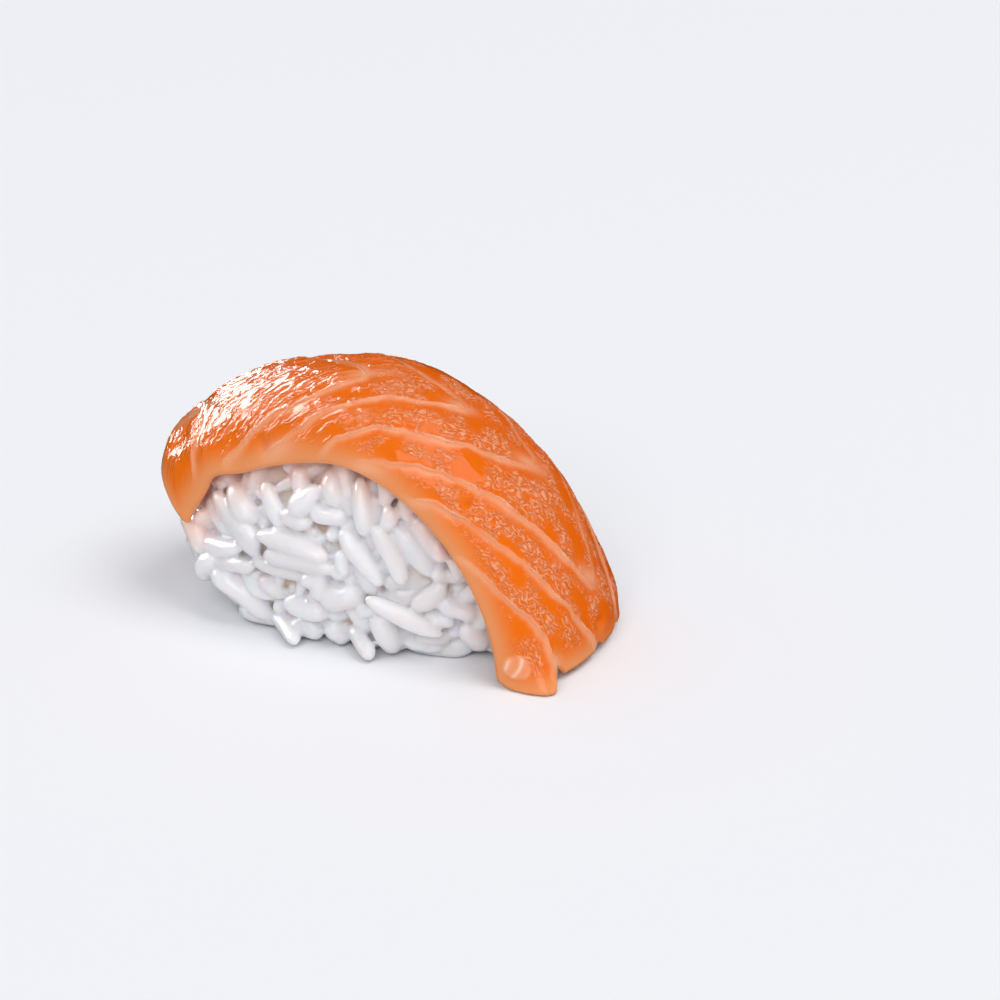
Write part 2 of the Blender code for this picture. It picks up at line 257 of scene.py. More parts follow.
def measured_spine(samples=600):
    """Distances along the spine with its points there, in x and z."""
    turn = np.linspace(-1, 1, samples + 1)
    angle = np.abs(turn) * math.pi / 2
    left = turn < 0
    end_x, end_z = np.where(left, LEFT_X, RIGHT_X), np.where(left, LEFT_Z, RIGHT_Z)
    power = 2 / np.where(left, LEFT_SQUARENESS, RIGHT_SQUARENESS)
    x = CREST_X + (end_x - CREST_X) * np.sin(angle) ** power
    z = end_z + (CREST_Z - end_z) * np.maximum(np.cos(angle), 0) ** power
    distance = np.concatenate([[0], np.cumsum(np.hypot(np.diff(x), np.diff(z)))])
    return distance, x, z


SPINE_DISTANCE, SPINE_X, SPINE_Z = measured_spine()
SLICE_LENGTH = SPINE_DISTANCE[-1]


def spine_at(u):
    """Points of the spine at shares u of its length. Beyond either end it runs on straight."""
    wanted = u * SLICE_LENGTH
    x = np.interp(wanted, SPINE_DISTANCE, SPINE_X)
    z = np.interp(wanted, SPINE_DISTANCE, SPINE_Z)
    for end, inner in ((0, 6), (-1, -7)):
        past = np.where(wanted < 0, wanted, 0) if end == 0 else np.maximum(wanted - SLICE_LENGTH, 0)
        run = SPINE_DISTANCE[inner] - SPINE_DISTANCE[end]
        x = x + past * (SPINE_X[inner] - SPINE_X[end]) / run
        z = z + past * (SPINE_Z[inner] - SPINE_Z[end]) / run
    return x, z


def along(values, u):
    """A size that runs smoothly through its values at the left end, middle and right end."""
    left, middle, right = values
    return left * (2 * u - 1) * (u - 1) + middle * 4 * u * (1 - u) + right * u * (2 * u - 1)


def top_surface(u, v):
    """Points of the slice's smooth top surface, without the finer relief."""
    x, z = spine_at(u)
    before = spine_at(np.maximum(u - DROOP_SPAN, 0))
    after = spine_at(np.minimum(u + DROOP_SPAN, 1))
    run_x, run_z = after[0] - before[0], after[1] - before[1]
    length = np.hypot(run_x, run_z)
    near = v < 0
    width = np.where(near, along(NEAR_WIDTH, u), along(FAR_WIDTH, u))
    droop = np.where(near, along(NEAR_DROOP, u), along(FAR_DROOP, u)) * np.abs(v) ** DROOP_POWER
    corner = (1 - ramp(*CORNER_FALL, u)) * v**4 * near
    droop = droop - LIFT * np.exp(-(((u - LIFT_AT) / LIFT_SPREAD) ** 2)) * v**4 * near
    spread = TIP_SPREAD * ramp(TIP_SPREAD_START, 1, u) ** 2 * ramp(*TIP_RISE, v) * (1 - ramp(*TIP_FALL, v))
    x = x + run_z / length * droop - CORNER_OUT * corner + spread
    y = width * np.sin(v * SIDE_TURN) / math.sin(SIDE_TURN) - spread
    z = z - run_x / length * droop - CORNER_DOWN * corner
    return np.stack([x, y, z], -1)


def unit(vectors):
    """The vectors at length one."""
    return vectors / np.maximum(np.linalg.norm(vectors, axis=-1, keepdims=True), 1e-9)


def surface_runs(u, v, step=0.004):
    """Short runs along and across the smooth top surface."""
    lengthwise = top_surface(u + step, v) - top_surface(u - step, v)
    crosswise = top_surface(u, v + step) - top_surface(u, v - step)
    return lengthwise, crosswise


def thickness(share, v):
    """Thickness of the slice, full in its middle and thin at its rim."""
    across = np.sqrt(np.maximum(0, 1 - np.abs(v) ** 3.5))
    lengthwise = np.sqrt(np.maximum(0, 1 - np.minimum(1, np.abs(2 * share - 1)) ** 9))
    return EDGE_THICKNESS + (THICKNESS - EDGE_THICKNESS) * across * lengthwise


def right_end(v):
    """Where along the slice its notched right end lies."""
    reach = np.where(v < END_NOTCHES[0][0], TIP_LOBE, 0.0)
    for place, depth, half_width in END_NOTCHES:
        reach = reach - depth * np.maximum(0, 1 - np.abs(v - place) / half_width)
    reach = reach - CORNER_ROUND * np.abs(v) ** 10
    return 1 + (reach - EDGE_THICKNESS / 2) / SLICE_LENGTH


def left_end(v):
    """Where along the slice its left end lies."""
    return (EDGE_THICKNESS / 2 + CORNER_ROUND * np.abs(v) ** 8) / SLICE_LENGTH


def rounded_line(points, steps=9):
    """A Catmull-Rom curve through the points."""
    points = np.array([points[0], *points, points[-1]], float)
    share = np.linspace(0, 1, steps, endpoint=False)[:, None]
    pieces = []
    for before, start, end, after in zip(points, points[1:], points[2:], points[3:]):
        pieces.append(
            0.5 * (2 * start + (end - before) * share + (2 * before - 5 * start + 4 * end - after) * share**2
                   + (3 * start - before - 3 * end + after) * share**3)
        )
    return np.concatenate([*pieces, points[-1:]])


def signed_distance(line, a, b):
    """Distances in mm to a line, positive on its left, the nearest places along it, and its length."""
    nearest = np.full(a.shape, 1e9)
    side, place = np.zeros((2, *a.shape))
    lengths = np.linalg.norm(np.diff(line, axis=0), axis=1)
    travelled = np.concatenate([[0], np.cumsum(lengths)])
    for k, (start, end) in enumerate(zip(line[:-1], line[1:])):
        run_a, run_b = end - start
        off_a, off_b = a - start[0], b - start[1]
        share = np.clip((off_a * run_a + off_b * run_b) / lengths[k] ** 2, 0, 1)
        gap = np.hypot(off_a - share * run_a, off_b - share * run_b)
        closer = gap < nearest
        nearest[closer] = gap[closer]
        side[closer] = np.sign(run_a * off_b - run_b * off_a)[closer]
        place[closer] = (travelled[k] + share * lengths[k])[closer]
    return nearest * side, place, travelled[-1]


def seam_relief(a, b):
    """Relief and fat of the seams, with the fat mask full along each ridge for its painted highlight, and
    where they calm the wrinkles.
    """
    height, fat, calm = np.zeros((3, *a.shape))
    ripple = FlatNoise(SEED + 1)
    for k, seam in enumerate(SEAMS):
        line = rounded_line(seam) * (SLICE_LENGTH, HALF_GIRTH)
        distance, place, whole = signed_distance(line, a, b)
        wander = 0.35 * ripple.at(place * 0.35 + 7 * k, np.full(a.shape, 3.3 * k))
        wander += 0.12 * ripple.at(place * 1.3 + 7 * k, np.full(a.shape, 1.9 * k + 50))
        distance = distance + wander
        fade = smooth_step(0, 3, place) * smooth_step(0, 2, whole - place)
        sharpness = ripple.at(place * 0.3, np.full(a.shape, 9.1 + k))
        strength = fade * np.clip(0.75 + 0.6 * sharpness, 0.35, 1)
        breadth = ripple.at(place * 0.16, np.full(a.shape, 5.7 * k))
        width = SEAM_WIDTH * np.clip(0.85 + 0.6 * breadth, 0.4, 1.6)
        below = np.exp(-((np.minimum(distance, 0) / width) ** 2))
        above = np.exp(-((np.maximum(distance, 0) / (width / 2)) ** 4))
        band = 0.7 * below * above
        ridge = np.exp(-(((distance - width / 2) / RIDGE_WIDTH) ** 2))
        step = smooth_step(-0.2, 0.5, distance) * np.exp(-((np.maximum(distance, 0) / STEP_WIDTH) ** 2))
        dip = np.exp(-((distance / DIP_WIDTH) ** 2))
        height += (-DIP_DEPTH * dip + STEP_HEIGHT * step) * fade + RIDGE_HEIGHT * ridge * strength
        fat = np.maximum(fat, band * (0.55 + 0.45 * strength) * fade)
        # The sharp ridge line sets the fat mask high, which paints a highlight along it.
        fat = np.maximum(fat, ridge * strength)
        calm = np.maximum(calm, np.exp(-((distance + 0.4) / 0.7) ** 2) * fade)
    return height, fat, calm


def patch_relief(a, b):
    """Height and share of fat of the pale patches, the dents and the skin on the tip."""
    height, fat = np.zeros((2, *a.shape))
    for along_at, across_at, half_length, half_width, turn in PALE_PATCHES:
        off_a, off_b = leaned(a - along_at * SLICE_LENGTH, b - across_at * HALF_GIRTH, math.radians(turn))
        reach = (off_a / half_length) ** 2 + (off_b / half_width) ** 2
        fat = np.maximum(fat, 0.7 * np.exp(-reach))
    for along_at, across_at, depth, half_width in DENTS:
        reach = np.hypot(a - along_at * SLICE_LENGTH, b - across_at * HALF_GIRTH) / half_width
        height -= depth * np.exp(-reach**2)
    off_a = (a - SKIN_ALONG * SLICE_LENGTH) / SKIN_LENGTH
    off_b = (b - SKIN_ACROSS * HALF_GIRTH) / SKIN_WIDTH
    reach = np.hypot(off_a, off_b)
    creases = np.abs(np.sin(3.6 * off_b + 2.0 * off_a + 1.2 * off_a**2 + 0.8))
    inside = 1 - smooth_step(0.7, 1.0, reach)
    height += SKIN_HEIGHT * inside * (0.6 + 0.4 * creases)
    fat = np.maximum(fat, inside * (0.5 + 0.5 * creases**4))
    return height, fat


def wrinkle_relief(a, b, u, v):
    """Wet wrinkles of the muscle, where they are, and how far they are streaks rather than squiggles."""
    warp, fine, patchy = (FlatNoise(SEED + k) for k in (2, 3, 4))
    shift_a = 0.5 * warp.at(a / 1.1, b / 1.1)
    shift_b = 0.5 * warp.at(a / 1.1 + 40, b / 1.1 + 17)
    squiggle_a, squiggle_b = leaned(a + shift_a, b + shift_b, SQUIGGLE_LEAN)
    squiggle_noise = fine.at(squiggle_a / SQUIGGLE_SIZE[0], squiggle_b / SQUIGGLE_SIZE[1])
    squiggle = 1 - np.abs(squiggle_noise) * SQUIGGLE_SHARPNESS
    streak_a, streak_b = leaned(a + 0.6 * shift_a, b + 0.6 * shift_b, STREAK_LEAN)
    streak_noise = fine.at(streak_a / STREAK_SIZE[0] + 80, streak_b / STREAK_SIZE[1])
    streak = 1 - np.abs(streak_noise) * STREAK_SHARPNESS
    left = 1 - smooth_step(*STREAKS_END, u)
    mixed = squiggle * (1 - left) + streak * left
    mixed = np.clip(mixed, 0, 1) ** 1.5
    cloud = patchy.at(a / 4, b / 2.6) + 0.15 + 0.25 * (u - 0.4) - 0.3 * np.abs(v + 0.2)
    where = smooth_step(-0.30, 0.30, cloud + 0.45 * left * smooth_step(-1.0, -0.8, v))
    return mixed, where, left


def leaned(a, b, lean):
    """The same places on axes turned by lean."""
    return a * math.cos(lean) + b * math.sin(lean), b * math.cos(lean) - a * math.sin(lean)


def rim_direction(u, v, outward_u, outward_v):
    """Directions out of the slice at its rim, along its surface."""
    lengthwise, crosswise = surface_runs(u, v)
    return unit(unit(lengthwise) * outward_u[:, None] + unit(crosswise) * outward_v[:, None])


def rim_places(rows, columns, factor=1):
    """A grid's rim as row and column numbers, in order round it, at every so many steps."""
    near = [(i, 0) for i in range(rows - 1, 0, -factor)]
    left = [(0, j) for j in range(0, columns - 1, factor)]
    far = [(i, columns - 1) for i in range(0, rows - 1, factor)]
    right = [(rows - 1, j) for j in range(columns - 1, 0, -factor)]
    return np.array(near + left + far + right)


def grid_faces(rows, columns, first, flipped):
    """The quads of a grid of points whose first is numbered first."""
    i, j = np.meshgrid(np.arange(rows - 1), np.arange(columns - 1), indexing="ij")
    a = (first + i * columns + j).ravel()
    quads = np.stack([a, a + columns, a + columns + 1, a + 1], 1)
    return quads[:, ::-1] if flipped else quads


def rim_rings(smooth_top, normal, depth, outward):
    """Rings of points that round the rim from the top to the underside."""
    rings = []
    for k in range(1, RIM_RINGS + 1):
        turn = math.pi * k / (RIM_RINGS + 1)
        middle = smooth_top - normal * depth / 2
        across = normal * depth / 2 * math.cos(turn)
        rings.append(middle + across + outward * EDGE_THICKNESS / 2 * math.sin(turn))
    return rings


def slice_mesh():
    """Points and faces of the slice, and the masks that its finish reads, four numbers for each point.

    flesh: fat, which runs full along seam ridges for their painted highlight, wrinkles, which are painted
    with a highlight, nearness to the rim, place across. sheet: place in mm, streaks, where wrinkles are.
    """
    rows, columns = STEPS_ALONG + 1, STEPS_ACROSS + 1
    share, v = np.meshgrid(np.linspace(0, 1, rows), np.linspace(-1, 1, columns), indexing="ij")
    u = left_end(v) + share * (right_end(v) - left_end(v))
    a, b = u * SLICE_LENGTH, v * HALF_GIRTH
    smooth_top, normal = top_surface(u, v), unit(np.cross(*surface_runs(u, v)))
    height, fat, calm = seam_relief(a, b)
    patch_height, patch_fat = patch_relief(a, b)
    wrinkles, where, left = wrinkle_relief(a, b, u, v)
    end_gaps = share * SLICE_LENGTH, (1 - share) * SLICE_LENGTH
    rim_gap = np.minimum.reduce([(1 - np.abs(v)) * HALF_GIRTH, *end_gaps])
    inner = smooth_step(0.4, 3.0, rim_gap)
    where = where * (1 - 0.9 * calm) * smooth_step(1.0, 4.0, rim_gap)
    where *= 1 - smooth_step(0.2, 0.6, patch_fat)
    swell = FlatNoise(SEED + 5).at(a / SWELL_LENGTH, b / SWELL_WIDTH)
    height = height * inner + patch_height * smooth_step(0.0, 1.0, rim_gap)
    height += (WRINKLE_HEIGHT + STREAK_EXTRA_HEIGHT * left) * wrinkles * where + SWELL_HEIGHT * swell * inner
    top = smooth_top + normal * height[..., None]

    coarse = slice(0, rows, UNDERSIDE_FACTOR), slice(0, columns, UNDERSIDE_FACTOR)
    depth = thickness(share, v)
    bottom = (smooth_top - normal * depth[..., None])[coarse]
    order = rim_places(rows, columns)
    i, j = order[:, 0], order[:, 1]
    outward_u = (i == rows - 1).astype(float) - (i == 0)
    outward_v = (j == columns - 1).astype(float) - (j == 0)
    outward = rim_direction(u[i, j], v[i, j], outward_u, outward_v)
    rings = rim_rings(smooth_top[i, j], normal[i, j], depth[i, j, None], outward)
    points = np.concatenate([top.reshape(-1, 3), bottom.reshape(-1, 3), *rings])
    points[:, 2] = np.maximum(points[:, 2], TIP_LIFT)

    side = np.where(v < 0, 1, 0.4)  # the far rim is less pale
    edge = (1 - smooth_step(0.0, 3.6, rim_gap)) ** 1.5 * side
    flesh = np.tile((0.0, 0.0, 1.0, 0.5), (len(points), 1))
    sheet = np.zeros((len(points), 4))
    count = rows * columns
    top_flesh = np.maximum(fat, patch_fat), wrinkles * where, edge, 0.5 + 0.5 * v
    flesh[:count] = np.stack(top_flesh, -1).reshape(-1, 4)
    sheet[:count] = np.stack((a, b, left, where), -1).reshape(-1, 4)
    return points, slice_faces(rows, columns, order), flesh, sheet


def slice_faces(rows, columns, order):
    """Faces of the top, the coarser underside, the rim's rings, and the strip that joins them below."""
    low_rows = (rows - 1) // UNDERSIDE_FACTOR + 1
    low_columns = (columns - 1) // UNDERSIDE_FACTOR + 1
    count = rows * columns
    faces = grid_faces(rows, columns, 0, False).tolist()
    faces += grid_faces(low_rows, low_columns, count, True).tolist()
    loop = (order[:, 0] * columns + order[:, 1]).tolist()
    first_ring = count + low_rows * low_columns
    size = len(loop)
    for k in range(RIM_RINGS):
        ring = list(range(first_ring + k * size, first_ring + (k + 1) * size))
        for here in range(size):
            there = (here + 1) % size
            faces.append([loop[here], loop[there], ring[there], ring[here]])
        loop = ring
    low_order = rim_places(low_rows, low_columns)
    low_loop = (count + low_order[:, 0] * low_columns + low_order[:, 1]).tolist()
    half = UNDERSIDE_FACTOR // 2
    for k, here in enumerate(low_loop):
        there = low_loop[(k + 1) % len(low_loop)]
        fine = [loop[(k * UNDERSIDE_FACTOR + step) % size] for step in range(UNDERSIDE_FACTOR + 1)]
        for step in range(UNDERSIDE_FACTOR):
            corner = here if step < half else there
            faces.append([fine[step], fine[step + 1], corner])
        faces.append([fine[half], there, here])
    return faces


def mesh_object(name, points, faces, material):
    mesh = bpy.data.meshes.new(name)
    mesh.from_pydata((np.asarray(points) * MM).tolist(), [], faces)
    mesh.shade_smooth()
    mesh.materials.append(material)
    obj = bpy.data.objects.new(name, mesh)
    bpy.context.scene.collection.objects.link(obj)
    return obj


def paint(obj, name, colours):
    """Stores four numbers for each vertex, for the material to read."""
    layer = obj.data.color_attributes.new(name, "FLOAT_COLOR", "POINT")
    layer.data.foreach_set("color", np.asarray(colours, np.float32).ravel())


# ---------------------------------------------------------------- rice


def pad_radius(height, end_share):
    """The pad's breadth at a height, as a share of its belly's. Its foot draws in more at the left end."""
    inset = FOOT_INSET * (1 - FOOT_UNEVENNESS * end_share)
    low = 1 - inset * ((BELLY_Z - height) / BELLY_Z) ** 2
    rise = np.clip((height - BELLY_Z) / (PAD_TOP - BELLY_Z), 0, 1)
    high = np.maximum(1 - rise**SHOULDER_SQUARENESS, 0) ** (1 / SHOULDER_SQUARENESS)
    return np.where(height < BELLY_Z, low, high)


def to_pad(points):
    """World points in the pad's own turned plan."""
    x, y = leaned(points[:, 0] - PAD_CENTRE_X, points[:, 1], PAD_TURN)
    return np.stack([x, y, points[:, 2]], 1)


def from_pad(points):
    """Points of the pad's own turned plan in the world."""
    x, y = leaned(points[:, 0], points[:, 1], -PAD_TURN)
    return np.stack([x + PAD_CENTRE_X, y, points[:, 2]], 1)


def plan_reach(points, inset):
    """How far out of the pad's outline each point is, as a share: over 1 is outside."""
    radius = np.maximum(pad_radius(np.maximum(points[:, 2], 0), np.clip(points[:, 0] / PAD_X, -1, 1)), 0.05)
    taper = 1 - PAD_TAPER * points[:, 0] / PAD_X
    half_x = np.maximum(PAD_X * radius - inset, 1)
    half_y = np.maximum(PAD_Y * radius * taper - inset, 1)
    n = PAD_SQUARENESS
    return (np.abs(points[:, 0] / half_x) ** n + np.abs(points[:, 1] / half_y) ** n) ** (1 / n)


def depth_in_pad(points):
    """How deep world points lie behind the pad's side, in mm."""
    own = to_pad(points)
    end_share = np.clip(own[:, 0] / PAD_X, -1, 1)
    return (1 - plan_reach(own, 0)) * PAD_Y * pad_radius(np.maximum(own[:, 2], 0), end_share)


class Ceiling:
    """Height of the slice's underside over the plan, with its slope. Outside the slice there is none."""

    STEP = 0.5
    NONE = 60.0
    STEEPEST = 2.5

    def __init__(self, tree):
        xs = np.arange(SLICE_LOW[0] - 3, SLICE_HIGH[0] + 3, self.STEP)
        ys = np.arange(SLICE_LOW[1] - 3, SLICE_HIGH[1] + 3, self.STEP)
        self.low_x, self.low_y = xs[0], ys[0]
        self.height = np.full((len(xs), len(ys)), self.NONE)
        for i, x in enumerate(xs):
            for j, y in enumerate(ys):
                hit = tree.ray_cast(Vector((x, y, -5)), Vector((0, 0, 1)))[0]
                if hit is not None:
                    self.height[i, j] = hit.z

    def at(self, points):
        i = np.clip(np.rint((points[:, 0] - self.low_x) / self.STEP).astype(int), 1, self.height.shape[0] - 2)
        j = np.clip(np.rint((points[:, 1] - self.low_y) / self.STEP).astype(int), 1, self.height.shape[1] - 2)
        slope_x = (self.height[i + 1, j] - self.height[i - 1, j]) / (2 * self.STEP)
        slope_y = (self.height[i, j + 1] - self.height[i, j - 1]) / (2 * self.STEP)
        slopes = np.clip((slope_x, slope_y), -self.STEEPEST, self.STEEPEST)
        return self.height[i, j], slopes[0], slopes[1]


def closest_shares(start_1, end_1, start_2, end_2):
    """Shares along two sets of segments at which each pair comes closest."""
    run_1, run_2, off = end_1 - start_1, end_2 - start_2, start_1 - start_2
    a, e = np.sum(run_1 * run_1, 1), np.sum(run_2 * run_2, 1)
    f, c, b = np.sum(run_2 * off, 1), np.sum(run_1 * off, 1), np.sum(run_1 * run_2, 1)
    spread = a * e - b * b
    s = np.clip(np.where(spread > 1e-6, (b * f - c * e) / np.maximum(spread, 1e-6), 0.5), 0, 1)
    t = np.clip((b * s + f) / e, 0, 1)
    s = np.clip((b * t - c) / a, 0, 1)
    return s, t


def near_face(x, z, inset):
    """The point of the heap's near face at that x and z, moved in by the inset."""
    outer, inner = -30.0, -1.0
    for _ in range(30):
        y = (outer + inner) / 2
        if plan_reach(to_pad(np.array([[x, y, z]])), inset)[0] > 1:
            outer = y
        else:
            inner = y
    return x, inner, z


def grains_in_sight():
    """Ends and radii of the grains whose places are listed."""
    rods = []
    for start_x, start_z, end_x, end_z, radius, proud in GRAINS_IN_SIGHT:
        inset = radius - proud
        rods.append((near_face(start_x, start_z, inset), near_face(end_x, end_z, inset), radius))
    rods += GRAINS_POKING_OUT
    return [np.array(values) for values in zip(*rods)]


def scattered_grains(rng, ceiling):
    """Rods strewn through the pad: their ends, the lengths between those, and their radii."""
    length = rng.uniform(*GRAIN_LENGTHS, GRAIN_COUNT)
    length = np.where(rng.random(GRAIN_COUNT) < BROKEN_SHARE, length * BROKEN_LENGTH, length)
    radius = rng.uniform(*GRAIN_RADII, GRAIN_COUNT)
    core = length - 2 * radius * ROUND_END
    middle = np.zeros((GRAIN_COUNT, 3))
    filled = 0
    while filled < GRAIN_COUNT:
        trial = rng.uniform((-PAD_X, -PAD_Y, 0), (PAD_X, PAD_Y, PAD_TOP))[None]
        if plan_reach(trial, 1)[0] < 1 and ceiling.at(from_pad(trial))[0][0] > trial[0, 2] + 1:
            middle[filled] = from_pad(trial)[0]
            filled += 1
    heading = unit(rng.normal(size=(GRAIN_COUNT, 3)) * (1.0, 0.9, 0.9))  # rather along the pad than not
    return middle - heading * core[:, None] / 2, middle + heading * core[:, None] / 2, core, radius


def close_pairs(start, end):
    """Numbers of the rods in each pair that may touch."""
    centre = (start + end) / 2
    gaps = np.linalg.norm(centre[:, None] - centre[None], axis=2)
    return np.nonzero(np.triu(gaps < GRAIN_LENGTHS[1] + 1, 1))


def push_apart(start, end, radius, first, second):
    """Moves the ends of the rods in each touching pair away from the other rod."""
    s, t = closest_shares(start[first], end[first], start[second], end[second])
    point_1 = start[first] + (end - start)[first] * s[:, None]
    point_2 = start[second] + (end - start)[second] * t[:, None]
    apart = point_1 - point_2
    gap = np.linalg.norm(apart, axis=1)
    overlap = (radius[first] + radius[second]) * PRESSED - gap
    touching = overlap > 0
    push = apart[touching] / np.maximum(gap[touching], 1e-6)[:, None] * overlap[touching, None] * PUSH
    s, t = s[touching, None], t[touching, None]
    for ends, rods, amount in (
        (start, first, (1 - s) * push),
        (end, first, s * push),
        (start, second, -(1 - t) * push),
        (end, second, -t * push),
    ):
        np.add.at(ends, rods[touching], amount * EASE)


def pack_grains(rng, ceiling):
    """Pushes rods apart until they fill the pad. Returns the two ends and the radius of each."""
    fixed_start, fixed_end, fixed_radius = grains_in_sight()
    fixed = len(fixed_radius)
    start, end, core, radius = scattered_grains(rng, ceiling)
    radius[:fixed] = fixed_radius
    core[:fixed] = np.linalg.norm(fixed_end - fixed_start, axis=1)
    proud = np.where(rng.random(GRAIN_COUNT) < PROUD_SHARE, PROUD_BY, 0.0)
    proud += rng.uniform(-0.4, 0.2, GRAIN_COUNT)
    for step in range(PACKING_ROUNDS):
        start[:fixed], end[:fixed] = fixed_start, fixed_end
        if step % 5 == 0:
            first, second = close_pairs(start, end)
        push_apart(start, end, radius, first, second)
        for ends in (start, end):
            hold_in(ends, radius, proud, ceiling)
        middle, run = (start + end) / 2, unit(end - start)
        start, end = middle - run * core[:, None] / 2, middle + run * core[:, None] / 2
    start[:fixed], end[:fixed] = fixed_start, fixed_end
    return start, end, radius


def hold_in(ends, radius, proud, ceiling):
    """Moves rod ends back into the pad, below the slice and above the table."""
    ends[:, 2] = np.maximum(ends[:, 2], radius)
    own = to_pad(ends)
    reach = plan_reach(own, radius - proud)
    own[:, :2] /= np.maximum(reach, 1)[:, None]
    ends[:] = from_pad(own)
    height, slope_x, slope_y = ceiling.at(ends)
    steepness = np.sqrt(1 + slope_x**2 + slope_y**2)
    over = np.maximum(0, (ends[:, 2] - height) / steepness + radius * 0.9) * (height < ceiling.NONE - 20)
    over = np.minimum(over, 1.0)
    ends[:, 0] += over * slope_x / steepness
    ends[:, 1] += over * slope_y / steepness
    ends[:, 2] -= over / steepness


def grain_shape(rng, start, end, radius):
    """Points of one grain: a slender, slightly bent and flattened body, blunter at one end."""
    axis = end - start
    length = np.linalg.norm(axis) + 1.7 * radius
    axis = axis / np.linalg.norm(axis)
    aside = unit(np.cross(axis, rng.normal(size=3)))
    other = np.cross(axis, aside)
    middle = (start + end) / 2
    t = -np.cos(np.linspace(0, math.pi, GRAIN_RINGS + 1))
    blunt = rng.uniform(2.4, 3.8)
    profile = np.maximum(0, 1 - np.abs(t) ** blunt) ** 0.5
    profile *= 1 + rng.uniform(-0.12, 0.12) * t + 0.04 * np.sin(3 * t + rng.uniform(0, 6))
    bend = rng.uniform(-0.5, 0.5) * (1 - t**2)
    flat = rng.uniform(0.76, 1.0)
    turn = np.linspace(0, 2 * math.pi, GRAIN_SIDES, endpoint=False)
    rings = []
    for k in range(1, GRAIN_RINGS):
        ripple = 1 + 0.05 * np.sin(2 * turn + 3 * t[k] + rng.uniform(0, 0.8))
        ripple += 0.03 * np.sin(3 * turn + 5 * t[k])
        reach = radius * profile[k] * ripple
        centre = middle + axis * t[k] * length / 2 + aside * bend[k]
        rings.append(
            centre + np.outer(np.cos(turn) * reach, aside) + np.outer(np.sin(turn) * reach * flat, other)
        )
    tips = [middle - axis * length / 2, middle + axis * length / 2]
    return np.concatenate([[tips[0]], *rings, [tips[1]]])


def grain_faces(first):
    """Faces of a grain whose first point is numbered first."""
    faces = []
    last = first + 1 + (GRAIN_RINGS - 1) * GRAIN_SIDES
    for j in range(GRAIN_SIDES):
        following = (j + 1) % GRAIN_SIDES
        faces.append([first, first + 1 + following, first + 1 + j])
        for k in range(GRAIN_RINGS - 2):
            low = first + 1 + k * GRAIN_SIDES
            faces.append([low + j, low + following, low + GRAIN_SIDES + following, low + GRAIN_SIDES + j])
        low = first + 1 + (GRAIN_RINGS - 2) * GRAIN_SIDES
        faces.append([low + j, low + following, last])
    return faces


def make_rice(ceiling, salmon_tree, material):
    """The heap of rice: a core and the grains near its outside, fused, with their masks."""
    rng = np.random.default_rng(SEED)
    start, end, radius = pack_grains(rng, ceiling)
    core_points, faces = heap_core(ceiling)
    points, colours = [core_points], [np.tile((0.5, 0.5, 0, 1), (len(core_points), 1))]
    count = len(core_points)
    for k in np.nonzero(depth_in_pad((start + end) / 2) < SHELL_DEPTH)[0]:
        grain = grain_shape(rng, start[k], end[k], radius[k])
        points.append(grain)
        faces += grain_faces(count)
        count += len(grain)
        tone = rng.uniform(0, 1)
        colours.append(np.tile((tone, rng.uniform(0, 1), 0, 1), (len(grain), 1)))
    points, colours = np.concatenate(points), np.concatenate(colours)
    points[:, 2] = np.maximum(points[:, 2], 0)
    obj = mesh_object("rice_grains", points, faces, material)
    fuse(obj)
    paint(obj, "grain", grain_masks(obj, points, colours, salmon_tree))
    return obj


def fuse(obj):
    """Joins sticky grains where they touch, with a soft neck between them."""
    remesh = obj.modifiers.new("fuse", "REMESH")
    remesh.mode = "VOXEL"
    remesh.voxel_size = FUSE_VOXEL * MM
    remesh.use_smooth_shade = True
    smooth = obj.modifiers.new("soften", "SMOOTH")
    smooth.factor, smooth.iterations = 0.5, FUSE_SMOOTHING
    thin_out = obj.modifiers.new("thin_out", "DECIMATE")
    thin_out.ratio = KEPT_SHARE
    graph = bpy.context.evaluated_depsgraph_get()
    fused = bpy.data.meshes.new_from_object(obj.evaluated_get(graph))
    obj.modifiers.clear()
    obj.data = fused
    fused.shade_smooth()


def vertex_points(obj):
    """The object's vertices in millimetres."""
    points = np.zeros(len(obj.data.vertices) * 3)
    obj.data.vertices.foreach_get("co", points)
    return points.reshape(-1, 3) / MM


def grain_masks(obj, grain_points, grain_colours, salmon_tree):
    """For each vertex: its grain's tone, a spare number, its depth in the heap, which paints shade there, and
    how near the salmon is, which paints its reflection.
    """
    tree = KDTree(len(grain_points))
    for k, point in enumerate(grain_points):
        tree.insert(point, k)
    tree.balance()
    points = vertex_points(obj)
    nearest = np.array([tree.find(point)[1] for point in points])
    masks = grain_colours[nearest].copy()
    # Depth behind the heap's side, for the painted shade of its gaps.
    masks[:, 2] = smooth_step(1.1, 2.6, depth_in_pad(points))
    gap = np.array([salmon_tree.find_nearest(Vector(point))[3] for point in points])
    # Nearness to the salmon, for its painted pink reflection on the rice.
    masks[:, 3] = 1 - smooth_step(0.3, 4.5, gap)
    return masks


